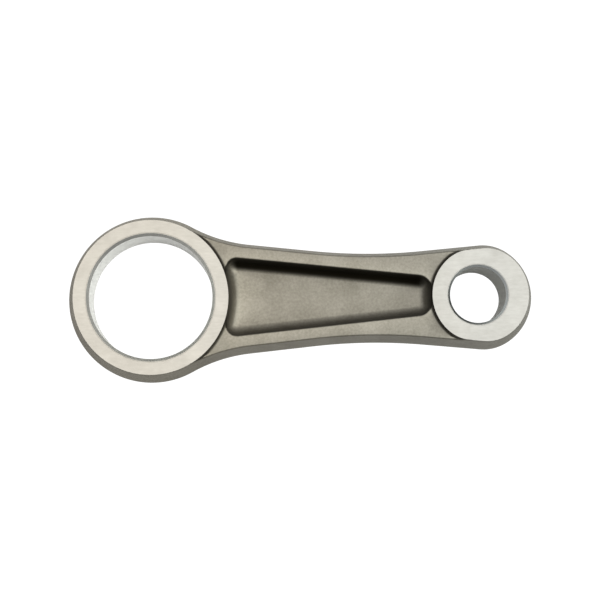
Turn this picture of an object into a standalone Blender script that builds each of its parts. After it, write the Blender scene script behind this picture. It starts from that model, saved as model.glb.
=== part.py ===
"""Undivided connecting rod: one steel forging with a plain bearing bush pressed into each of its two eyes.

Metres, +Z up. The rod lies on its ground eye faces, so both bores run along Z. The big end is towards -X and
the small end towards +X. The origin is on the plane the rod rests on, under the middle of its length.
"""

import math

import bmesh
import bpy

MM = 0.001

# Overall
CENTRE_DISTANCE = 117.0 * MM  # big bore axis to small bore axis
EYE_WIDTH = 22.0 * MM  # over the two ground faces of either eye
DRAFT = math.radians(12.5)  # forging draft of every outer side, from the parting line up and down

# Big end
BIG_BORE_R = 22.0 * MM
BIG_BUSH_WALL = 1.25 * MM
BIG_BUSH_CHAMFER = 1.1 * MM
BIG_EYE_WALL = 6.45 * MM  # from the hole for the bush out to the parting line

# Small end, whose eye stands off centre, so that its outer wall is the thicker one
SMALL_BORE_R = 10.05 * MM
SMALL_BUSH_WALL = 1.0 * MM
SMALL_BUSH_CHAMFER = 0.8 * MM
SMALL_EYE_WALL = 8.25 * MM  # from the hole for the bush out to the parting line, before the offset
SMALL_EYE_OFFSET = 0.9 * MM  # eye centre beyond the bore axis, along +X
SMALL_SHOULDER_R = 15.5 * MM  # tighter turn from each end of the eye into its flanks

# Shank
FACE_STEP = 1.2 * MM  # ground faces stand this much above the shank's rims
PARTING_LAND = 1.2 * MM  # upright band left along the parting line when the flash is trimmed
WAIST_BACK = 39.0 * MM  # from the small bore axis to the waist
WAIST_HALF = 15.23 * MM  # where a flank's two straight runs would meet over the waist, at the parting line
WAIST_R = 200.0 * MM  # hollow of the flank between those runs
BIG_FLARE = math.radians(6.05)  # angle at which a flank widens from the waist to the big end
SMALL_STAND_OUT = 0.81 * MM  # small eye's circle outside the straight run that passes its centre
NECK_R = 55.0 * MM  # hollow of the flank where it runs into the big eye
RIM_EDGE = 0.5 * MM
WEB = 4.5 * MM  # left between the two pockets

# Pocket on each side, measured where it opens in the rims
POCKET_IN_BIG_EYE = 3.2 * MM  # how far it starts inside the big eye's outline
POCKET_IN_SMALL_EYE = 2.6 * MM  # and ends inside the small eye's
POCKET_START_HALF = 14.4 * MM
POCKET_END_HALF = 6.8 * MM
POCKET_DRAFT = math.radians(10.0)
POCKET_FLOOR_R = 3.2 * MM  # fillet between the walls and the floor
POCKET_CORNER_R = 0.3 * MM  # of the floor's outline, inside that fillet

# Fits
BUSH_GAP = 0.3 * MM  # between a bush and its eye
BUSH_SETBACK = 0.1 * MM  # bush ends below the ground faces
BLEND_DEPTH = 0.15 * MM  # how far an eye's side stands out of the flank that runs into it

# Fineness of the solids
CUT_OVER = 1.0 * MM  # how far a cutter stands out of what it cuts
BIG_SEGMENTS = 96
SMALL_SEGMENTS = 72
CORNER_STEPS = 6
FLANK_STEPS = 12
END_STEPS = 13
SHOULDER_STEPS = 6
FLOOR_STEPS = 5
SHARP_ANGLE = math.radians(30.0)

# Worked out from the above
MID_Z = EYE_WIDTH / 2
RIM_Z = EYE_WIDTH - FACE_STEP
LAND_Z = MID_Z + PARTING_LAND / 2
FLOOR_Z = MID_Z + WEB / 2
BIG_BUSH_R = BIG_BORE_R + BIG_BUSH_WALL
SMALL_BUSH_R = SMALL_BORE_R + SMALL_BUSH_WALL
BIG_EYE_R = BIG_BUSH_R + BUSH_GAP + BIG_EYE_WALL
SMALL_EYE_R = SMALL_BUSH_R + BUSH_GAP + SMALL_EYE_WALL  # round both ends of the eye
SMALL_EYE_X = CENTRE_DISTANCE + SMALL_EYE_OFFSET
LENGTH = BIG_EYE_R + SMALL_EYE_X + SMALL_EYE_R
BIG_X = BIG_EYE_R - LENGTH / 2
SMALL_X = BIG_X + CENTRE_DISTANCE
WAIST_X = CENTRE_DISTANCE - WAIST_BACK
POCKET_START_X = BIG_EYE_R - POCKET_IN_BIG_EYE
POCKET_END_X = SMALL_EYE_X - SMALL_EYE_R + POCKET_IN_SMALL_EYE
# The run to the small end passes the eye's centre at this distance, which sets the angle it widens at.
SMALL_FLAT = SMALL_EYE_R - SMALL_STAND_OUT
WAIST_TO_EYE = SMALL_EYE_X - WAIST_X
SMALL_FLARE = math.asin(SMALL_FLAT / math.hypot(WAIST_TO_EYE, WAIST_HALF)) - math.atan2(WAIST_HALF, WAIST_TO_EYE)
WALL_FOOT_Z = FLOOR_Z + POCKET_FLOOR_R * (1 - math.sin(POCKET_DRAFT))
WALL_FOOT = (RIM_Z - WALL_FOOT_Z) * math.tan(POCKET_DRAFT)
FLOOR_INSET = WALL_FOOT + POCKET_FLOOR_R * math.cos(POCKET_DRAFT)


def arc(centre, radius, start, end, steps):
    """Points of an arc from angle start to angle end."""
    turns = [start + (end - start) * i / steps for i in range(steps + 1)]
    return [(centre[0] + radius * math.cos(t), centre[1] + radius * math.sin(t)) for t in turns]


def circle(x, radius, segments):
    """Points of a circle round (x, 0)."""
    return arc((x, 0.0), radius, 0.0, 2 * math.pi, segments)[:-1]


def at_height(outline, z):
    return [(x, y, z) for x, y in outline]


def turned_over(rings):
    """The same rings on the underside of the rod."""
    return [[(x, y, EYE_WIDTH - z) for x, y, z in ring] for ring in rings]


def flank(inset):
    """Upper flank of the shank, drawn in by inset, from the big eye to the small eye.

    It is the hollow neck that leaves the big eye, a straight taper, the hollow waist and a straight flare
    that ends inside the small eye. Distances are from the big bore axis.
    """
    big_r = BIG_EYE_R - BLEND_DEPTH
    # The waist touches both straight runs, so its centre lies on the line that halves the angle between them.
    lean = (BIG_FLARE - SMALL_FLARE) / 2
    waist_out = WAIST_R / math.cos((BIG_FLARE + SMALL_FLARE) / 2)
    waist_centre = (WAIST_X + waist_out * math.sin(lean), WAIST_HALF + waist_out * math.cos(lean))
    # The neck touches the big eye, and its centre lies NECK_R outside the left run.
    out_x, out_y = math.sin(BIG_FLARE), math.cos(BIG_FLARE)
    reach = out_x * WAIST_X + out_y * WAIST_HALF + NECK_R
    along = math.sqrt((big_r + NECK_R) ** 2 - reach**2)
    neck_centre = (out_x * reach + out_y * along, out_y * reach - out_x * along)
    neck_start = math.atan2(-neck_centre[1], -neck_centre[0])
    left_run = -math.pi / 2 - BIG_FLARE
    right_run = -math.pi / 2 + SMALL_FLARE
    end_r = SMALL_FLAT - inset
    points = arc(neck_centre, NECK_R + inset, neck_start, left_run, FLANK_STEPS)
    points += arc(waist_centre, WAIST_R + inset, left_run, right_run, FLANK_STEPS)
    points.append((SMALL_EYE_X - end_r * math.sin(SMALL_FLARE), end_r * math.cos(SMALL_FLARE)))
    return points


def shank_outline(inset):
    """Both flanks, joined by straight lines that lie inside the eyes."""
    upper = flank(inset)
    return [(x, -y) for x, y in upper] + upper[::-1]


def big_eye_outline(inset):
    return circle(0.0, BIG_EYE_R - inset, BIG_SEGMENTS)


def small_eye_outline(inset):
    """Outline of the small eye, drawn in by inset: an arc round each end and two shoulders at each flank."""
    aside = SMALL_EYE_R - SMALL_SHOULDER_R
    flat = math.pi / 2 + SMALL_FLARE
    swing = math.acos((SMALL_FLAT + BLEND_DEPTH - SMALL_SHOULDER_R) / aside)
    right, left = flat - swing, flat + swing
    right_centre = (SMALL_EYE_X + aside * math.cos(right), aside * math.sin(right))
    left_centre = (SMALL_EYE_X + aside * math.cos(left), aside * math.sin(left))
    end_r, shoulder_r = SMALL_EYE_R - inset, SMALL_SHOULDER_R - inset
    upper = arc((SMALL_EYE_X, 0.0), end_r, 0.0, right, END_STEPS)
    upper += arc(right_centre, shoulder_r, right, flat, SHOULDER_STEPS)[1:]
    upper += arc(left_centre, shoulder_r, flat, left, SHOULDER_STEPS)
    upper += arc((SMALL_EYE_X, 0.0), end_r, left, math.pi, END_STEPS)[1:]
    return upper + [(x, -y) for x, y in upper[-2:0:-1]]


def pocket_outline(inset):
    """Outline of a pocket, drawn in by inset: a taper with four round corners, anticlockwise."""
    slope = (POCKET_START_HALF - POCKET_END_HALF) / (POCKET_END_X - POCKET_START_X)
    taper = math.atan(slope)
    rim_r = FLOOR_INSET + POCKET_CORNER_R
    start_x = POCKET_START_X + rim_r
    end_x = POCKET_END_X - rim_r
    start_y = POCKET_START_HALF - slope * rim_r - rim_r / math.cos(taper)
    end_y = POCKET_END_HALF + slope * rim_r - rim_r / math.cos(taper)
    radius = rim_r - inset
    edge = math.pi / 2 - taper
    points = arc((end_x, -end_y), radius, -edge, 0.0, CORNER_STEPS)
    points += arc((end_x, end_y), radius, 0.0, edge, CORNER_STEPS)
    points += arc((start_x, start_y), radius, edge, math.pi, CORNER_STEPS)
    points += arc((start_x, -start_y), radius, math.pi, 2 * math.pi - edge, CORNER_STEPS)
    return points


def new_object(name, bm, x, material=None):
    """Makes an object of bm, whose points are measured from a bore axis at x."""
    bmesh.ops.recalc_face_normals(bm, faces=bm.faces)
    mesh = bpy.data.meshes.new(name)
    bm.to_mesh(mesh)
    bm.free()
    mesh.shade_smooth()
    mesh.set_sharp_from_angle(angle=SHARP_ANGLE)
    ob = bpy.data.objects.new(name, mesh)
    bpy.context.scene.collection.objects.link(ob)
    ob.location.x = x
    ob.parent = assembly
    if material:
        mesh.materials.append(material)
    return ob


def add_rings(bm, rings, closed):
    """Joins each ring of points to the next with quads, and the last to the first where closed."""
    loops = [[bm.verts.new(p) for p in ring] for ring in rings]
    following = loops[1:] + loops[:1] if closed else loops[1:]
    for low, high in zip(loops, following):
        for i in range(len(low)):
            bm.faces.new((low[i - 1], low[i], high[i], high[i - 1]))
    return loops


def loft(name, rings, x, material=None):
    """A solid through the rings, with a flat face at each end."""
    bm = bmesh.new()
    loops = add_rings(bm, rings, closed=False)
    bm.faces.new(loops[0])
    bm.faces.new(loops[-1])
    return new_object(name, bm, x, material)


def tool(name, rings):
    """A solid that only shapes the forging."""
    ob = loft(name, rings, BIG_X)
    ob.hide_render = True
    ob.display_type = "WIRE"
    return ob


def shank():
    """The bar between the eyes, before its pockets are pressed in."""
    rim_inset = (RIM_Z - LAND_Z) * math.tan(DRAFT)
    edge_inset = (RIM_Z - RIM_EDGE - LAND_Z) * math.tan(DRAFT)
    half = [
        at_height(shank_outline(0.0), LAND_Z),
        at_height(shank_outline(edge_inset), RIM_Z - RIM_EDGE),
        at_height(shank_outline(rim_inset + RIM_EDGE), RIM_Z),
    ]
    return loft("rod_forging", turned_over(half)[::-1] + half, BIG_X, forged_steel)


def eye(name, outline):
    """The full body of an eye, drafted both ways from the parting line to its ground faces."""
    face_inset = (EYE_WIDTH - LAND_Z) * math.tan(DRAFT)
    half = [at_height(outline(0.0), LAND_Z), at_height(outline(face_inset), EYE_WIDTH)]
    return tool(name, turned_over(half)[::-1] + half)


def pocket_rings():
    """Upper pocket, from above the rims down its drafted wall and round the fillet to its floor."""
    over = (-CUT_OVER * math.tan(POCKET_DRAFT), RIM_Z + CUT_OVER)
    fillet_centre = (FLOOR_INSET, FLOOR_Z + POCKET_FLOOR_R)
    fillet = arc(fillet_centre, POCKET_FLOOR_R, math.pi + POCKET_DRAFT, 1.5 * math.pi, FLOOR_STEPS)
    return [at_height(pocket_outline(inset), z) for inset, z in [over, *fillet]]


def bore(name, x, radius, segments):
    """A straight cut through the whole width of an eye."""
    outline = circle(x, radius, segments)
    return tool(name, [at_height(outline, -CUT_OVER), at_height(outline, EYE_WIDTH + CUT_OVER)])


def bush(name, x, bore_r, wall, chamfer, segments):
    """A plain bearing bush, chamfered inside both its ends."""
    low, high = BUSH_SETBACK, EYE_WIDTH - BUSH_SETBACK
    outer_r = bore_r + wall
    section = [
        (outer_r, low),
        (outer_r, high),
        (bore_r + chamfer, high),
        (bore_r, high - chamfer),
        (bore_r, low + chamfer),
        (bore_r + chamfer, low),
    ]
    bm = bmesh.new()
    add_rings(bm, [at_height(circle(0.0, r, segments), z) for r, z in section], closed=True)
    return new_object(name, bm, x, bearing_metal)


def shape(ob, operation, operand):
    """Adds operand to ob, or cuts it out of ob."""
    modifier = ob.modifiers.new(operand.name, "BOOLEAN")
    modifier.operation = operation
    modifier.object = operand


def principled(name, colour, roughness):
    """A bare metal."""
    material = bpy.data.materials.new(name)
    material.use_nodes = True
    shader = material.node_tree.nodes["Principled BSDF"]
    shader.inputs["Base Color"].default_value = (*colour, 1.0)
    shader.inputs["Roughness"].default_value = roughness
    shader.inputs["Metallic"].default_value = 1.0
    return material


for old in list(bpy.data.objects):
    bpy.data.objects.remove(old)

assembly = bpy.data.objects.new("connecting_rod", None)
bpy.context.scene.collection.objects.link(assembly)
forged_steel = principled("forged_steel", (0.37, 0.35, 0.31), 0.45)
bearing_metal = principled("bearing_metal", (0.62, 0.62, 0.62), 0.3)

forging = shank()
upper_pocket = pocket_rings()
shape(forging, "DIFFERENCE", tool("pocket_upper", upper_pocket))
shape(forging, "DIFFERENCE", tool("pocket_lower", turned_over(upper_pocket)))
shape(forging, "UNION", eye("eye_big", big_eye_outline))
shape(forging, "UNION", eye("eye_small", small_eye_outline))
shape(forging, "DIFFERENCE", bore("bore_big", 0.0, BIG_BUSH_R + BUSH_GAP, BIG_SEGMENTS))
shape(forging, "DIFFERENCE", bore("bore_small", CENTRE_DISTANCE, SMALL_BUSH_R + BUSH_GAP, SMALL_SEGMENTS))

bush("big_end_bush", BIG_X, BIG_BORE_R, BIG_BUSH_WALL, BIG_BUSH_CHAMFER, BIG_SEGMENTS)
bush("small_end_bush", SMALL_X, SMALL_BORE_R, SMALL_BUSH_WALL, SMALL_BUSH_CHAMFER, SMALL_SEGMENTS)
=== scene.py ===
"""Connecting rod: a blasted steel forging, its eye faces ground, with a plain bush in each eye.

The frame is in metres. The forging's shape is worked out in millimetres from the big bore axis,
with z = 0 on its middle plane, so its upper and lower halves mirror each other.
"""

import math

import bmesh
import bpy
import numpy as np
from mathutils import Matrix, Vector
from mathutils.geometry import delaunay_2d_cdt


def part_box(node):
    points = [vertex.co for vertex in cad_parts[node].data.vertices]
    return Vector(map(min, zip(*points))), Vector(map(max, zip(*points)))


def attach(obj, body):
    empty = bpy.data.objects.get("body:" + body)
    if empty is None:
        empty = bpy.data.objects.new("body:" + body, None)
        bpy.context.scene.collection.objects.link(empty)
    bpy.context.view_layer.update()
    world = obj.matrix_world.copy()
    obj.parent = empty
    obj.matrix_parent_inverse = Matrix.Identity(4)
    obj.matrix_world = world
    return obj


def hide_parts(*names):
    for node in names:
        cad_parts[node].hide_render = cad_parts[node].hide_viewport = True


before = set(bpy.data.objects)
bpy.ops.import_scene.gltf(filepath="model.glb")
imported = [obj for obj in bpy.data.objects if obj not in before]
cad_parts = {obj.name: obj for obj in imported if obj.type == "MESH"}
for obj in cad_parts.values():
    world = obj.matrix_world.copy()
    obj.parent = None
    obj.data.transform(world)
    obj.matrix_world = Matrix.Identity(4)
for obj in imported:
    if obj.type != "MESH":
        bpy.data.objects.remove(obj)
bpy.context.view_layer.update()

MM = 0.001

# -------------------------------------------------- sizes the frame gives, in millimetres


def node_box(node):
    low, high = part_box(node)
    return low / MM, high / MM


ROD_LOW, ROD_HIGH = node_box("rod_forging")
BIG_LOW, BIG_HIGH = node_box("big_end_bush")
SMALL_LOW, SMALL_HIGH = node_box("small_end_bush")
BIG_X = (BIG_LOW.x + BIG_HIGH.x) / 2  # of the big bore axis
SMALL_X = (SMALL_LOW.x + SMALL_HIGH.x) / 2
MID_Z = (ROD_LOW.z + ROD_HIGH.z) / 2
FACE = (ROD_HIGH.z - ROD_LOW.z) / 2  # height of a ground face above the middle plane
CENTRES = SMALL_X - BIG_X
BIG_EYE_R = BIG_X - ROD_LOW.x
BIG_BUSH_R = (BIG_HIGH.x - BIG_LOW.x) / 2
SMALL_BUSH_R = (SMALL_HIGH.x - SMALL_LOW.x) / 2
BUSH_END = BIG_HIGH.z - MID_Z
SMALL_EYE_OFFSET = 0.9  # of the eye from its bore, so that its outer wall is the thicker one
SMALL_EYE_X = CENTRES + SMALL_EYE_OFFSET
SMALL_EYE_R = ROD_HIGH.x - BIG_X - SMALL_EYE_X

# -------------------------------------------------- sizes of the forging and the bushes

DRAFT = math.radians(12.5)
LAND = 0.6  # half the height of the band trimmed along the parting line
FACE_STEP = 1.2  # from a rim of the shank up to a ground face
RIM = FACE - FACE_STEP
BIG_FLARE = math.radians(6.05)  # the angle at which a flank's run widens towards the big eye
WAIST_BACK = 39.0  # from the small bore to where a flank's two straight runs would meet
WAIST_X = CENTRES - WAIST_BACK
WAIST_HALF = 15.23  # half the width of the rod there
WAIST_R = 200.0
NECK_R = 55.0
SHOULDER_R = 15.5  # of the small eye, where its ends turn into its flanks
SMALL_STAND_OUT = 0.81  # of the small eye's full radius beyond its flanks
SHANK_EDGE = 0.5  # radius between a drafted side and a rim
STEP_FILLET = 1.25  # radius at the foot of an eye's step
STEP_FILLET_FADE = (1.5, 3.5)  # distances inside the outline where that radius starts and is full
POCKET_FLOOR = 2.25  # above the middle plane, half the web's thickness
POCKET_DRAFT = math.radians(10.0)
POCKET_IN_BIG_EYE = 3.2
POCKET_IN_SMALL_EYE = 2.05
POCKET_START_X = BIG_EYE_R - POCKET_IN_BIG_EYE
POCKET_END_X = SMALL_EYE_X - SMALL_EYE_R + POCKET_IN_SMALL_EYE
POCKET_START_HALF = 14.4
POCKET_END_HALF = 6.8
POCKET_CORNER = 4.3  # radius of the mouth's corners, seen from above
POCKET_FILLET = 3.2  # radius all round the floor
POCKET_EDGE = 0.4  # radius between the pocket's wall and a rim
HAIRLINE = 0.02  # left between a pressed-in bush and its eye
TINY = 1e-6  # keeps a radius or a length from being nothing
CLOSE = 1e-3  # two places this near count as one
SLOPE_STEP = 0.01  # over which a slope is measured
HALVINGS = 48  # of a height, down to rounding error
BIG_WALL, BIG_CHAMFER = 1.25, 1.0
SMALL_WALL, SMALL_CHAMFER = 1.0, 0.8
BUSH_CORNER = 0.05  # broken off a bush's outer corners
BIG_SEGMENTS, SMALL_SEGMENTS = 160, 96  # round each bore

# -------------------------------------------------- outline of the rod seen from above

# Where a flank's two straight runs would meet, over the waist.
APEX = np.array([WAIST_X, WAIST_HALF])
# Square to the run down from the big eye, and along it.
LEFT_OUT = np.array([math.sin(BIG_FLARE), math.cos(BIG_FLARE)])
LEFT_ALONG = np.array([LEFT_OUT[1], -LEFT_OUT[0]])
# The run up to the small eye passes the eye's centre at this distance, which sets how it widens.
SMALL_FLAT = SMALL_EYE_R - SMALL_STAND_OUT
WAIST_TO_EYE = SMALL_EYE_X - WAIST_X
SMALL_FLARE = math.asin(SMALL_FLAT / math.hypot(WAIST_TO_EYE, WAIST_HALF)) - math.atan2(
    WAIST_HALF, WAIST_TO_EYE
)
RIGHT_OUT = np.array([-math.sin(SMALL_FLARE), math.cos(SMALL_FLARE)])  # square to that run
RIGHT_ALONG = np.array([RIGHT_OUT[1], -RIGHT_OUT[0]])
HALF_TURN = (BIG_FLARE - SMALL_FLARE) / 2
WAIST = APEX + WAIST_R / math.cos((BIG_FLARE + SMALL_FLARE) / 2) * np.array(
    [math.sin(HALF_TURN), math.cos(HALF_TURN)]
)
NECK_REACH = LEFT_OUT @ APEX + NECK_R
NECK = LEFT_OUT * NECK_REACH + LEFT_ALONG * math.sqrt((BIG_EYE_R + NECK_R) ** 2 - NECK_REACH**2)
# The small eye's shoulders touch the right run, one on each side of its middle, and the arcs round
# its ends.
SMALL_EYE = np.array([SMALL_EYE_X, 0.0])
FLAT_TURN = math.pi / 2 + SMALL_FLARE
SWING = math.acos((SMALL_FLAT - SHOULDER_R) / (SMALL_EYE_R - SHOULDER_R))


def shoulder_centre(turn):
    return SMALL_EYE + (SMALL_EYE_R - SHOULDER_R) * np.array([math.cos(turn), math.sin(turn)])


RIGHT_SHOULDER = shoulder_centre(FLAT_TURN - SWING)
LEFT_SHOULDER = shoulder_centre(FLAT_TURN + SWING)


def rounded_max(a, b, r):
    """The larger of two distances, with radius r along the ridge where the two surfaces meet."""
    return np.minimum(-r, np.maximum(a, b)) + np.hypot(np.maximum(r + a, 0), np.maximum(r + b, 0))


def rounded_min(a, b, r):
    """The smaller of two distances, with radius r in the corner where the two solids meet."""
    return -rounded_max(-a, -b, r)


def ease(low, high, x):
    t = np.clip((x - low) / (high - low), 0, 1)
    return t * t * (3 - 2 * t)


def big_inset(x, y):
    return BIG_EYE_R - np.hypot(x, y)


def square_to(line):
    """A line turned a quarter anticlockwise."""
    return np.array([-line[1], line[0]])


def past(line, start, x, y):
    """Whether a point lies beyond start, seen along a line."""
    return line[0] * (x - start[0]) + line[1] * (y - start[1]) > 0


def small_inset(x, y):
    y = np.abs(y)
    end = SMALL_EYE_R - np.hypot(x - SMALL_EYE_X, y)
    flat = SMALL_FLAT - RIGHT_OUT[0] * (x - SMALL_EYE_X) - RIGHT_OUT[1] * y
    right, left = (
        SHOULDER_R - np.hypot(x - at[0], y - at[1]) for at in (RIGHT_SHOULDER, LEFT_SHOULDER)
    )
    inset = np.where(past(square_to(RIGHT_SHOULDER - SMALL_EYE), SMALL_EYE, x, y), right, end)
    inset = np.where(past(-RIGHT_ALONG, RIGHT_SHOULDER, x, y), flat, inset)
    inset = np.where(past(-RIGHT_ALONG, LEFT_SHOULDER, x, y), left, inset)
    return np.where(past(square_to(LEFT_SHOULDER - SMALL_EYE), SMALL_EYE, x, y), end, inset)


def outline_inset(x, y):
    """How far a point lies inside the outline at the parting line."""
    y = np.abs(y)
    inset = small_inset(x, y)
    right_run = RIGHT_OUT @ APEX - RIGHT_OUT[0] * x - RIGHT_OUT[1] * y
    waist = np.hypot(x - WAIST[0], y - WAIST[1]) - WAIST_R
    left_run = LEFT_OUT @ APEX - LEFT_OUT[0] * x - LEFT_OUT[1] * y
    neck = np.hypot(x - NECK[0], y - NECK[1]) - NECK_R
    inset = np.where(past(-RIGHT_ALONG, RIGHT_SHOULDER, x, y), right_run, inset)
    inset = np.where(past(-RIGHT_ALONG, WAIST, x, y), waist, inset)
    inset = np.where(past(-LEFT_ALONG, WAIST, x, y), left_run, inset)
    inset = np.where(past(-LEFT_ALONG, NECK, x, y), neck, inset)
    return np.where(NECK[0] * y > NECK[1] * x, big_inset(x, y), inset)


# -------------------------------------------------- the forging's upper half as a solid

TAPER = math.atan((POCKET_START_HALF - POCKET_END_HALF) / (POCKET_END_X - POCKET_START_X))


def pocket_inset(x, y):
    """How far a point lies inside the pocket's mouth, before the big eye cuts it off."""
    along = x - POCKET_START_X
    side = (POCKET_START_HALF - np.abs(y)) * math.cos(TAPER) - along * math.sin(TAPER)
    ends = rounded_min(side, along, POCKET_CORNER)
    return rounded_min(ends, POCKET_END_X - x, POCKET_CORNER)


def wall(inset, z):
    """Distance outside a drafted side that stands on the parting land."""
    return (z - LAND) * math.sin(DRAFT) - inset * math.cos(DRAFT)


def distance(x, y, z):
    """Distance outside the forging's upper half before its eyes are ground and bored."""
    inset = outline_inset(x, y)
    plate = rounded_max(wall(inset, z), z - RIM, SHANK_EDGE)
    sides = (RIM - z) * math.sin(POCKET_DRAFT) - pocket_inset(x, y) * math.cos(POCKET_DRAFT)
    big, small = wall(big_inset(x, y), z), wall(small_inset(x, y), z)
    pocket = rounded_max(np.maximum(sides, -big), POCKET_FLOOR - z, POCKET_FILLET)
    shank = rounded_max(plate, -pocket, POCKET_EDGE)
    fillet = STEP_FILLET * ease(*STEP_FILLET_FADE, inset) + TINY
    return rounded_min(rounded_min(shank, big, fillet), small, fillet)


def heights(x, y):
    """How high the upper half stands at each point, found by halving and cut off at the faces."""
    low, high = np.zeros_like(x), np.full_like(x, FACE + 1)
    for _ in range(HALVINGS):
        middle = (low + high) / 2
        outside = distance(x, y, middle) > 0
        low, high = np.where(outside, low, middle), np.where(outside, middle, high)
    return np.minimum(low, FACE)


def slopes(x, y, z):
    """Unit normals of the forged surface at points on it."""
    h = SLOPE_STEP
    rows = [
        distance(x + h, y, z) - distance(x - h, y, z),
        distance(x, y + h, z) - distance(x, y - h, z),
        distance(x, y, z + h) - distance(x, y, z - h),
    ]
    normal = np.stack(rows, axis=1)
    return normal / np.linalg.norm(normal, axis=1, keepdims=True)


# -------------------------------------------------- lines that the forging's mesh follows


def arc(centre, radius, start, end, spacing):
    steps = max(2, math.ceil(abs(end - start) * abs(radius) / spacing))
    turns = np.linspace(start, end, steps + 1)
    x, y = centre[0] + radius * np.cos(turns), centre[1] + radius * np.sin(turns)
    return np.stack([x, y], axis=1)


def joined(arcs, spacing):
    """The arcs as one line, with straight runs between those that don't meet."""
    line = [arcs[0]]
    for piece in arcs[1:]:
        gap = piece[0] - line[-1][-1]
        length = np.linalg.norm(gap)
        steps = max(1, math.ceil(length / spacing))
        line.append(line[-1][-1] + gap * np.linspace(0, 1, steps + 1)[1:-1, None])
        line.append(piece if length > 1e-6 else piece[1:])
    return np.concatenate(line)


def both_sides(upper):
    """A closed line from its upper half, which starts and ends on the rod's own axis."""
    return np.concatenate([upper, (upper * (1, -1))[-2:0:-1]])


def small_end_arcs(inset, spacing):
    right, radius = FLAT_TURN - SWING, SHOULDER_R - inset
    end = arc(SMALL_EYE, SMALL_EYE_R - inset, 0, right, spacing)
    return [end, arc(RIGHT_SHOULDER, radius, right, FLAT_TURN, spacing)]


def outline(inset, spacing):
    """The rod's outline drawn in by inset."""
    left_run, right_run = -math.pi / 2 - BIG_FLARE, -math.pi / 2 + SMALL_FLARE
    neck_turn = math.atan2(NECK[1], NECK[0])
    arcs = small_end_arcs(inset, spacing) + [
        arc(WAIST, WAIST_R + inset, right_run, left_run, spacing),
        arc(NECK, NECK_R + inset, left_run, neck_turn - math.pi, spacing),
        arc((0, 0), BIG_EYE_R - inset, neck_turn, math.pi, spacing),
    ]
    return both_sides(joined(arcs, spacing))


def small_eye_outline(inset, spacing):
    left, radius = FLAT_TURN + SWING, SHOULDER_R - inset
    arcs = small_end_arcs(inset, spacing) + [
        arc(LEFT_SHOULDER, radius, FLAT_TURN, left, spacing),
        arc(SMALL_EYE, SMALL_EYE_R - inset, left, math.pi, spacing),
    ]
    return both_sides(joined(arcs, spacing))


def big_eye_outline(inset, spacing):
    return arc((0, 0), BIG_EYE_R - inset, 0, 2 * math.pi, spacing)[:-1]


END_STEPS = 6  # along half of the pocket's narrow end
BIG_EYE_REACH = 12.0  # how far along the pocket the big eye's side is looked for
MOUTH_INSETS = (-0.8, -0.55, -0.36, -0.27, -0.18, -0.10, -0.04, 0.0, 0.06)  # over the rounded edge
UPRIGHT_LEVELS = (0.33, 0.66)  # of the way down a wall to its fillet
FILLET_LEVELS = 10


def pocket_ring(inset, big_radius, spacing):
    """One height of the pocket's wall as a closed line.

    It follows the pocket's own taper, or the big eye's side where that is nearer.
    """
    start_x, end_x = POCKET_START_X + POCKET_CORNER, POCKET_END_X - POCKET_CORNER
    slope = math.tan(TAPER)
    start_y = POCKET_START_HALF - slope * POCKET_CORNER - POCKET_CORNER / math.cos(TAPER)
    end_y = POCKET_END_HALF + slope * POCKET_CORNER - POCKET_CORNER / math.cos(TAPER)
    radius = POCKET_CORNER - inset
    turn = math.pi / 2 - TAPER
    closer = spacing * radius / (POCKET_CORNER + 1.0)  # so every ring's corner has as many points
    right = arc((end_x, end_y), radius, 0, turn, closer)
    left = arc((start_x, start_y), radius, turn, math.pi, closer)
    steps = math.ceil((end_x - start_x) / spacing)
    flank = right[-1] + (left[0] - right[-1]) * np.linspace(0, 1, steps + 1)[1:-1, None]
    up = END_STEPS
    end = np.stack([np.full(up, right[0][0]), np.linspace(0, end_y, up + 1)[:-1]], axis=1)
    down = math.ceil(start_y / spacing)
    start = np.stack([np.full(down, left[-1][0]), np.linspace(start_y, 0, down + 1)[1:]], axis=1)
    upper = np.concatenate([end, right, flank, left, start])
    near = (upper[:, 0] < POCKET_START_X + BIG_EYE_REACH) & (np.abs(upper[:, 1]) < big_radius)
    edge = np.sqrt(np.maximum(big_radius**2 - upper[:, 1] ** 2, 0))
    upper[:, 0] = np.where(near, np.maximum(upper[:, 0], edge), upper[:, 0])
    return both_sides(upper)


def pocket_rings():
    """Insets of the pocket's own wall and radii of the big eye's side, from rim to floor."""
    eye_at_rim = BIG_EYE_R - (RIM - LAND) * math.tan(DRAFT)
    rings = [(inset, eye_at_rim + max(inset, 0)) for inset in MOUTH_INSETS]
    turns = np.linspace(0, 1, FILLET_LEVELS)
    own = POCKET_DRAFT + (math.pi / 2 - POCKET_DRAFT) * turns
    eye = DRAFT + (math.pi / 2 - DRAFT) * turns
    own_foot, eye_foot = (
        (RIM - POCKET_FLOOR - POCKET_FILLET * (1 - math.sin(draft))) * math.tan(draft)
        for draft in (POCKET_DRAFT, DRAFT)
    )
    for part in UPRIGHT_LEVELS:
        rings.append((own_foot * part, eye_at_rim + eye_foot * part))
    for a, b in zip(own, eye):
        inset = own_foot + POCKET_FILLET * (math.cos(POCKET_DRAFT) - math.cos(a))
        radius = eye_at_rim + eye_foot + POCKET_FILLET * (math.cos(DRAFT) - math.cos(b))
        rings.append((inset, radius))
    return rings


FACE_INSET = (FACE - LAND) * math.tan(DRAFT)  # from the parting line to the edge of a ground face
RIM_INSET = (RIM - LAND) * math.tan(DRAFT)
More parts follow.
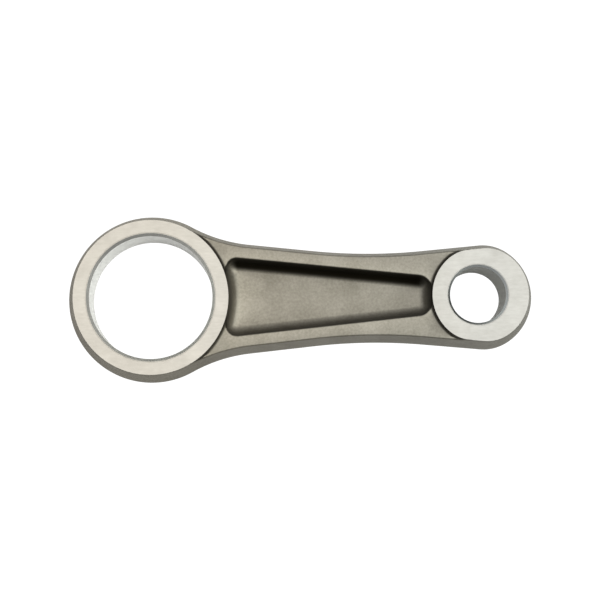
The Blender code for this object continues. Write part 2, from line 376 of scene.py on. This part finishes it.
# Lines close together where a surface turns: over a side's rounded edge, and down a step's fillet.
WALL_INSETS = (0, 0.5, 1.0, 1.5, 1.85, 1.95, 2.01, 2.08, 2.16, 2.24, FACE_INSET, 2.38, 2.46)
STEP_INSETS = (FACE_INSET, 2.20, 2.13, 2.06, 1.98, 1.88, 1.76, 1.63, 1.49, 1.34, 1.18, 1.02)
WALL_SPACING, LINE_SPACING = 0.9, 0.8
STEP_START = 2.35  # distance inside the outline from which an eye's step is a step
MOUTH_MARGIN = 0.1  # how far a step's fillet reaches into the pocket's mouth

points, edges = [], []


def off_face(inset):
    """Whether a point lies outside an eye's ground face."""
    return inset < FACE_INSET - 0.01


def follow(line, closed, keep=None):
    """Adds a line to the mesh's plan, leaving out the points that keep says no to."""
    keep = np.ones(len(line), bool) if keep is None else keep
    first = len(points)
    points.extend(line)
    last = len(line) if closed else len(line) - 1
    for i in range(last):
        j = (i + 1) % len(line)
        if keep[i] and keep[j]:
            edges.append((first + i, first + j))
    for i in range(len(line)):
        if not keep[i]:
            points[first + i] = None


for inset in WALL_INSETS:
    follow(outline(inset, WALL_SPACING), True)
for inset in STEP_INSETS:
    for line in (big_eye_outline(inset, LINE_SPACING), small_eye_outline(inset, LINE_SPACING)):
        x, y = line.T
        on_shank = outline_inset(x, y) > STEP_START
        outside_pocket = (pocket_inset(x, y) < MOUTH_MARGIN) | (inset == FACE_INSET)
        follow(line, True, on_shank & outside_pocket)
for inset, radius in pocket_rings():
    line = pocket_ring(inset, radius, LINE_SPACING)
    x, y = line.T
    follow(line, True, off_face(big_inset(x, y)) & off_face(small_inset(x, y)))
BORES = (
    (0.0, BIG_BUSH_R + HAIRLINE, BIG_SEGMENTS),
    (CENTRES, SMALL_BUSH_R + HAIRLINE, SMALL_SEGMENTS),
)
for x, radius, segments in BORES:
    follow(arc((x, 0), radius, 0, 2 * math.pi, 2 * math.pi * radius / segments)[:-1], True)

numbers, kept = {}, []
for i, point in enumerate(points):
    if point is not None:
        numbers[i] = len(kept)
        kept.append(Vector(point.tolist()))
kept_edges = [(numbers[a], numbers[b]) for a, b in edges]
plan, _, plan_faces, _, _, _ = delaunay_2d_cdt(kept, kept_edges, [], 0, CLOSE)
plan = np.array([tuple(p) for p in plan])
plan_faces = np.array(plan_faces)

# -------------------------------------------------- scale left on the forging, and painted shade

# Share of the surface darkened by forging scale and painted shade: on a pocket's wall, at an eye's
# step and on the outer sides. What is added for a wall that faces the front or the big end follows
# each, and is painted shade.
POCKET_SCALE_AND_SHADE, POCKET_FRONT_SHADE, POCKET_BIG_END_SHADE = 0.82, 0.18, 0.03
STEP_SCALE_AND_SHADE = 0.9
SIDE_SCALE_AND_SHADE, SIDE_FRONT_SHADE = 0.48, 0.06
MOUTH_BLEND = 0.2  # either side of the pocket's mouth
STEP_REACH = 0.9  # inside an eye's own outline
RIM_MARGIN = 0.15
# Height over the pocket's floor at which the cover starts and is full, as a share of its depth, and
# how steep a surface has to be for full cover. The back wall's cover starts lower and on gentler
# slopes, a painted shadow reaching onto the floor at its foot.
COVER_START, COVER_FULL, BACK_COVER_LOWER = -0.2, 0.9, 0.4
FULL_AT_STEEPNESS, BACK_GENTLER = 0.6, 0.25


def scale_and_painted_shade(x, y, z, normals):
    """How much forging scale and painted shade cover the surface, 1 being fully covered.

    The pocket's wall that faces the front (-Y) gets more cover, which is painted shade, and the
    other walls' cover thins towards the pocket's floor.
    """
    steepness = np.hypot(*normals[:, :2].T)  # 0 where the surface is level, 1 where it is upright
    out_x, out_y = (normals[:, :2] / np.maximum(steepness, TINY)[:, None]).T
    to_front, to_back = np.maximum(-out_y, 0), np.maximum(out_y, 0)
    mouth = ease(-MOUTH_BLEND, MOUTH_BLEND, pocket_inset(x, y))
    in_pocket = mouth * off_face(big_inset(x, y))
    in_eye = np.maximum(big_inset(x, y), small_inset(x, y)) > STEP_REACH
    on_step = (1 - in_pocket) * (outline_inset(x, y) > RIM_INSET + RIM_MARGIN) * in_eye
    on_side = (1 - in_pocket) * (1 - on_step)
    # Painted shade: the extra cover on walls that face the front or the big end, and part of the
    # outer sides' cover, darken where shade falls.
    scale_and_shade_share = (
        in_pocket * (POCKET_SCALE_AND_SHADE - POCKET_BIG_END_SHADE * out_x + POCKET_FRONT_SHADE * to_front)
        + on_step * STEP_SCALE_AND_SHADE
        + on_side * (SIDE_SCALE_AND_SHADE - SIDE_FRONT_SHADE * out_y)
    )
    front_or_outside = np.maximum(in_pocket * to_front, 1 - in_pocket)
    behind = in_pocket * to_back
    above_floor = (z - POCKET_FLOOR) / (RIM - POCKET_FLOOR)
    by_height = ease(COVER_START - BACK_COVER_LOWER * behind, COVER_FULL, above_floor)
    by_steepness = ease(0, FULL_AT_STEEPNESS - BACK_GENTLER * behind, steepness)
    return scale_and_shade_share * np.maximum(front_or_outside, by_height) * by_steepness


# -------------------------------------------------- the forging's mesh

middle = plan[plan_faces].mean(axis=1)
solid = outline_inset(middle[:, 0], middle[:, 1]) > 1e-4
for x, radius, segments in BORES:
    solid &= np.hypot(middle[:, 0] - x, middle[:, 1]) > radius * math.cos(math.pi / segments)
plan_faces = plan_faces[solid]
used = np.unique(plan_faces)
renumber = np.full(len(plan), -1)
renumber[used] = np.arange(len(used))
plan, plan_faces = plan[used], renumber[plan_faces]

x, y = plan.T
z = heights(x, y)
on_land = outline_inset(x, y) < CLOSE
z[on_land] = LAND
upper_normals = slopes(x, y, z)
count = len(plan)
ground_face = (z[plan_faces] > FACE - CLOSE).all(axis=1)

BLASTED, GROUND, TRIMMED = 0, 1, 2
faces, face_normals, face_finish = [], [], []
up = np.array([0.0, 0.0, 1.0])
for corners, is_ground in zip(plan_faces, ground_face):
    normals = [up] * 3 if is_ground else [upper_normals[i] for i in corners]
    finish = GROUND if is_ground else BLASTED
    faces.append(tuple(corners))
    face_normals.append(normals)
    face_finish.append(finish)
    faces.append(tuple(corners[::-1] + count))
    face_normals.append([n * (1, 1, -1) for n in normals[::-1]])
    face_finish.append(finish)

borders = {}
for corners in plan_faces:
    for a, b in zip(corners, np.roll(corners, -1)):
        borders[(a, b)] = (b, a) not in borders
        if (b, a) in borders:
            borders[(b, a)] = borders[(a, b)] = False
for (a, b), is_border in borders.items():
    if not is_border:
        continue
    across = []
    for i in (a, b):
        outward = upper_normals[i] * (1, 1, 0)
        if not on_land[i]:
            axis = 0.0 if plan[i][0] < CENTRES / 2 else CENTRES
            outward = np.array([axis - plan[i][0], -plan[i][1], 0.0])
        across.append(outward / np.linalg.norm(outward))
    faces.append((b, a, a + count, b + count))
    face_normals.append([across[1], across[0], across[0], across[1]])
    face_finish.append(TRIMMED if on_land[a] else GROUND)

place = np.array([BIG_X, 0.0, MID_Z])
upper = np.column_stack([x, y, z]) + place
lower = np.column_stack([x, y, -z]) + place
forging_mesh = bpy.data.meshes.new("forging")
corner_places = (np.concatenate([upper, lower]) * MM).tolist()
forging_mesh.from_pydata(corner_places, [], [tuple(map(int, f)) for f in faces])
forging_mesh.polygons.foreach_set("material_index", face_finish)
forging_mesh.polygons.foreach_set("use_smooth", [True] * len(faces))
forging_mesh.update()
# Forging scale and painted shade, one share per point, for the blasted steel's colour.
scale_and_shade_cover = forging_mesh.attributes.new("scale_and_shade_cover", "FLOAT", "POINT")
scale_and_shade_cover.data.foreach_set("value", np.tile(scale_and_painted_shade(x, y, z, upper_normals), 2))
forging_mesh.normals_split_custom_set([tuple(n) for normals in face_normals for n in normals])
forging = bpy.data.objects.new("forging", forging_mesh)
bpy.context.scene.collection.objects.link(forging)


# -------------------------------------------------- bushes

BORED, CHAMFERED, FACED = 0, 1, 2
SHARP = math.radians(20)  # the least angle between two faces that shows as an edge


def turned_bush(name, x, outer, wall_thickness, chamfer, segments):
    """A plain bush turned from bar: bore, a chamfer at each end, and broken outer corners."""
    inner, end = outer - wall_thickness, BUSH_END
    # Radius and height of each corner of the section, and the finish of the face that follows it.
    profile = [
        (inner, chamfer - end, CHAMFERED),
        (inner + chamfer, -end, FACED),
        (outer - BUSH_CORNER, -end, CHAMFERED),
        (outer, BUSH_CORNER - end, BORED),
        (outer, end - BUSH_CORNER, CHAMFERED),
        (outer - BUSH_CORNER, end, FACED),
        (inner + chamfer, end, CHAMFERED),
        (inner, end - chamfer, BORED),
    ]
    bm = bmesh.new()
    rings = []
    for i in range(segments):
        turn = 2 * math.pi * i / segments
        ring = []
        for r, height, _ in profile:
            across, along = r * math.sin(turn), x + r * math.cos(turn)
            ring.append(bm.verts.new((along * MM, across * MM, (MID_Z + height) * MM)))
        rings.append(ring)
    for i, ring in enumerate(rings):
        following = rings[(i + 1) % segments]
        for j in range(len(profile)):
            k = (j + 1) % len(profile)
            face = bm.faces.new((ring[j], following[j], following[k], ring[k]))
            face.smooth = True
            face.material_index = profile[j][2]
    bmesh.ops.recalc_face_normals(bm, faces=bm.faces)
    for edge in bm.edges:
        edge.smooth = edge.calc_face_angle(0) < SHARP
    mesh = bpy.data.meshes.new(name)
    bm.to_mesh(mesh)
    bm.free()
    bush = bpy.data.objects.new(name, mesh)
    bpy.context.scene.collection.objects.link(bush)
    return bush


big_bush = turned_bush("big_bush", BIG_X, BIG_BUSH_R, BIG_WALL, BIG_CHAMFER, BIG_SEGMENTS)
small_bush = turned_bush(
    "small_bush", SMALL_X, SMALL_BUSH_R, SMALL_WALL, SMALL_CHAMFER, SMALL_SEGMENTS
)

for piece, node, slot in (
    (forging, "rod_forging", "forged_steel"),
    (big_bush, "big_end_bush", "bush_metal"),
    (small_bush, "small_end_bush", "bush_metal"),
):
    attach(piece, "root")
    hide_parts(node)

# -------------------------------------------------- materials


def linear(code, alpha=1.0):
    """Linear colour of an sRGB hex value."""
    parts = [int(code[i : i + 2], 16) / 255 for i in (1, 3, 5)]
    curve = [c / 12.92 if c <= 0.04045 else ((c + 0.055) / 1.055) ** 2.4 for c in parts]
    return (*curve, alpha)


def add(material, kind, settings=None, links=None):
    """Adds a node. Settings are its properties and unlinked inputs, links feed its other inputs."""
    node = material.node_tree.nodes.new(kind)
    for key, value in (settings or {}).items():
        if isinstance(key, str) and hasattr(node, key):
            setattr(node, key, value)
        else:
            node.inputs[key].default_value = value
    for key, source in (links or {}).items():
        material.node_tree.links.new(source, node.inputs[key])
    return node


def new_material(name):
    material = bpy.data.materials.new(name)
    material.use_nodes = True
    material.node_tree.nodes.clear()
    return material


def finish_material(material, shader):
    add(material, "ShaderNodeOutputMaterial", {}, {"Surface": shader.outputs[0]})


def millimetres(material):
    """Place on the piece in millimetres, so that a texture's scale is one over its size."""
    in_metres = add(material, "ShaderNodeTexCoord").outputs["Object"]
    to_mm = {"operation": "SCALE", "Scale": 1000.0}
    return add(material, "ShaderNodeVectorMath", to_mm, {0: in_metres}).outputs[0]


def set_ramp(node, stops):
    ramp = node.color_ramp
    while len(ramp.elements) > len(stops):
        ramp.elements.remove(ramp.elements[-1])
    while len(ramp.elements) < len(stops):
        ramp.elements.new(0.5)
    for element, (position, colour) in zip(ramp.elements, stops):
        element.position = position
        element.color = colour


NOISE_MIDDLE = (0.35, 0.65)  # a noise's values mostly lie between these
GLOSS_SPREAD = 0.05  # of the roughness, either way
COOLER = "#f4f9ff"  # the small end's tint


def steel(
    name, colours, roughness, grain_mm, cloud_mm, bump_mm, stretch=(1, 1, 1), scale_and_shade_colour=None
):
    """Bare steel.

    Its colour drifts between two tones over cloud_mm, and relief grain_mm wide breaks up its gloss.
    """
    material = new_material(name)
    where = millimetres(material)
    stretched = {"operation": "MULTIPLY", 1: stretch}
    along = add(material, "ShaderNodeVectorMath", stretched, {0: where}).outputs[0]
    cloud = add(
        material,
        "ShaderNodeTexNoise",
        {"Scale": 1 / cloud_mm, "Detail": 3.0, "Roughness": 0.6},
        {"Vector": where},
    )
    grain = add(
        material,
        "ShaderNodeTexNoise",
        {"Scale": 1 / grain_mm, "Detail": 2.0, "Roughness": 0.6},
        {"Vector": along},
    )
    mix = add(
        material,
        "ShaderNodeMath",
        {"operation": "ADD"},
        {0: grain.outputs["Fac"], 1: cloud.outputs["Fac"]},
    )
    share = add(material, "ShaderNodeMath", {"operation": "MULTIPLY", 1: 0.5}, {0: mix.outputs[0]})
    tone = add(material, "ShaderNodeValToRGB", {}, {"Fac": share.outputs[0]})
    set_ramp(tone, [(at, linear(colour)) for at, colour in zip(NOISE_MIDDLE, colours)])
    gloss = add(
        material,
        "ShaderNodeMapRange",
        {"To Min": roughness - GLOSS_SPREAD, "To Max": roughness + GLOSS_SPREAD},
        {"Value": grain.outputs["Fac"]},
    )
    bump = add(
        material,
        "ShaderNodeBump",
        {"Strength": 1.0, "Distance": bump_mm * MM},
        {"Height": grain.outputs["Fac"]},
    )
    # The steel is a shade warmer at the big end than at the small one.
    run = add(material, "ShaderNodeSeparateXYZ", {}, {0: where}).outputs["X"]
    cool = add(
        material,
        "ShaderNodeMapRange",
        {"From Min": BIG_X, "From Max": SMALL_X},
        {"Value": run},
    )
    tinted = add(
        material,
        "ShaderNodeMix",
        {"data_type": "RGBA", "blend_type": "MULTIPLY", 7: linear(COOLER)},
        {0: cool.outputs[0], 6: tone.outputs["Color"]},
    )
    colour = tinted.outputs[2]
    # Darkens the colour where the cover attribute says: forging scale, and painted shade in the
    # pocket, at the steps and on the sides.
    if scale_and_shade_colour:
        cover = add(material, "ShaderNodeAttribute", {"attribute_name": "scale_and_shade_cover"})
        mixed = add(
            material,
            "ShaderNodeMix",
            {"data_type": "RGBA", 7: linear(scale_and_shade_colour)},
            {0: cover.outputs["Fac"], 6: colour},
        )
        colour = mixed.outputs[2]
    shader = add(
        material,
        "ShaderNodeBsdfPrincipled",
        {"Metallic": 1.0},
        {"Base Color": colour, "Roughness": gloss.outputs[0], "Normal": bump.outputs[0]},
    )
    finish_material(material, shader)
    return material


ALONG_ROD = (0.25, 1, 1)
UP_SIDE = (1, 1, 0.2)
ROUND_BORE = (0.1, 0.1, 1)

# Drop-forged carbon steel, grit blasted clean of scale: matt, warm grey, with an even grain. The
# grain is really about 0.2 mm across, too fine to show, and is drawn coarser.
blasted_steel = steel(
    "grit_blasted_forged_steel",
    ("#8c8679", "#a8a295"),
    0.60,
    0.9,
    14.0,
    0.05,
    # Near black: forging scale, and painted shade where the cover stands in for shade.
    scale_and_shade_colour="#1e1b13",
)
# The eye faces, surface ground: pale and even, with a silky sheen. The wheel's marks are really
# under 0.1 mm apart, too fine to show, and are drawn coarser.
ground_steel = steel(
    "surface_ground_steel", ("#a6a29a", "#b6b2aa"), 0.45, 0.7, 9.0, 0.004, ALONG_ROD
)
# The parting line, where the flash was sheared off and dressed on a belt. The belt's scratches are
# really about 0.1 mm apart, too fine to show, and are drawn coarser.
trimmed_steel = steel("belt_dressed_steel", ("#78746c", "#88847b"), 0.45, 0.4, 8.0, 0.01, UP_SIDE)
# Bearing steel bush, fine bored: cooler and smoother than the forging, with faint rings round the
# bore. The tool's rings are really about 0.1 mm apart, too fine to show, and are drawn coarser.
bored_steel = steel(
    "fine_bored_bush_steel", ("#d8d8d5", "#dddddb"), 0.38, 0.4, 10.0, 0.0004, ROUND_BORE
)
# The small end's bush, bored the same way, its steel drawn darker: painted shade for the narrow
# bore, which takes in little light.
small_bush_shaded_steel = steel(
    "small_bush_steel_painted_shade", ("#9f9d94", "#a5a39a"), 0.30, 0.4, 10.0, 0.0004, ROUND_BORE
)
# The chamfers of both bushes, cut with a single point: glossier than the bore, so they darken away
# from the light.
turned_steel = steel(
    "turned_chamfer_steel", ("#c4c4be", "#cacac4"), 0.22, 0.4, 10.0, 0.0004, ROUND_BORE
)

for finish in (blasted_steel, ground_steel, trimmed_steel):
    forging_mesh.materials.append(finish)
for bush, bore_finish in ((big_bush, bored_steel), (small_bush, small_bush_shaded_steel)):
    for finish in (bore_finish, turned_steel, ground_steel):
        bush.data.materials.append(finish)

# -------------------------------------------------- floor, light and camera


WHITE_STRENGTH = 1.1  # of the paper and the room as the camera sees them, just past full white


def paper_white(name, to_light, to_eye):
    """White paper: to_light is what it throws back on the rod, to_eye how white it is itself."""
    material = new_material(name)
    paper = add(material, "ShaderNodeBsdfDiffuse", {"Color": linear(to_light)})
    plain = add(
        material, "ShaderNodeEmission", {"Color": linear(to_eye), "Strength": WHITE_STRENGTH}
    )
    seen = add(material, "ShaderNodeLightPath")
    both = add(
        material,
        "ShaderNodeMixShader",
        {},
        {0: seen.outputs["Is Camera Ray"], 1: paper.outputs[0], 2: plain.outputs[0]},
    )
    finish_material(material, both)
    return material


FLOOR_REACH = 2.0  # metres from the middle to a side
FLOOR_GAP = 0.0005  # metres under the lower faces, so the two don't touch

floor_mesh = bpy.data.meshes.new("floor")
floor_corners = [
    (FLOOR_REACH * side_x, FLOOR_REACH * side_y, 0)
    for side_x, side_y in ((-1, -1), (1, -1), (1, 1), (-1, 1))
]
floor_mesh.from_pydata(floor_corners, [], [(0, 1, 2, 3)])
floor = bpy.data.objects.new("floor", floor_mesh)
floor.location.z = -FLOOR_GAP
floor_mesh.materials.append(paper_white("white_paper", "#f0f0f0", "#ffffff"))
bpy.context.scene.collection.objects.link(floor)

world = bpy.data.worlds.new("studio")
bpy.context.scene.world = world
world.use_nodes = True
world.node_tree.nodes.clear()
direction = add(world, "ShaderNodeTexCoord").outputs["Generated"]
# The room is lighter behind the rod (+Y) and beyond its big end (-X) than in front of it.
LIGHTER_SIDE = (-0.35, 0.937, 0.0)
DIMMEST, LIGHTEST = 0.34, 0.70
toward = add(
    world,
    "ShaderNodeVectorMath",
    {"operation": "DOT_PRODUCT", 1: LIGHTER_SIDE},
    {0: direction},
)
level = add(
    world,
    "ShaderNodeMapRange",
    {"From Min": -1.0, "From Max": 1.0, "To Min": DIMMEST, "To Max": LIGHTEST},
    {"Value": toward.outputs["Value"]},
)
white = {"Color": linear("#ffffff")}
dim = add(world, "ShaderNodeBackground", white, {"Strength": level.outputs[0]})
bright = add(world, "ShaderNodeBackground", {**white, "Strength": WHITE_STRENGTH})
seen = add(world, "ShaderNodeLightPath")
room = add(
    world,
    "ShaderNodeMixShader",
    {},
    {0: seen.outputs["Is Camera Ray"], 1: dim.outputs[0], 2: bright.outputs[0]},
)
add(world, "ShaderNodeOutputWorld", {}, {"Surface": room.outputs[0]})


def softbox(name, place_m, width, height, power, colour):
    """A rectangular light aimed at the rod: place and size in metres, power in watts."""
    light = bpy.data.lights.new(name, "AREA")
    light.shape = "RECTANGLE"
    light.size, light.size_y = width, height
    light.energy = power
    light.color = linear(colour)[:3]
    box = bpy.data.objects.new(name, light)
    box.location = place_m
    box.rotation_euler = (-Vector(place_m)).to_track_quat("-Z", "Y").to_euler()
    bpy.context.scene.collection.objects.link(box)


softbox("overhead_softbox", (0.0, 0.2, 1.4), 1.8, 1.6, 14.5, "#fffdf8")
softbox("key_softbox", (1.1, -0.3, 0.95), 0.8, 0.8, 14.0, "#fbfffb")

# The camera looks down from a little in front of the rod. Its eye and the point it is aimed at are
# in millimetres from the big bore axis and the forging's middle plane, as the shape is.
CAMERA_EYE = (38.98, -58.97, 644.34)
CAMERA_AIM = (53.46, -0.45, 0.0)
CAMERA_ROLL = math.radians(-0.56)
LENS_MM, SENSOR_MM = 107.04, 36.0

camera_data = bpy.data.cameras.new("camera")
camera_data.lens = LENS_MM
camera_data.sensor_width = SENSOR_MM
camera = bpy.data.objects.new("camera", camera_data)
eye, target = (
    Vector((BIG_X + along, across, MID_Z + height)) * MM
    for along, across, height in (CAMERA_EYE, CAMERA_AIM)
)
back = (eye - target).normalized()
right = Vector((0, 1, 0)).cross(back).normalized()  # +Y points up in the view
upright = Matrix((right, back.cross(right), back)).transposed().to_4x4()
camera.matrix_world = upright @ Matrix.Rotation(CAMERA_ROLL, 4, "Z")
camera.location = eye
bpy.context.scene.collection.objects.link(camera)
bpy.context.scene.camera = camera
bpy.context.scene.view_settings.view_transform = "Standard"
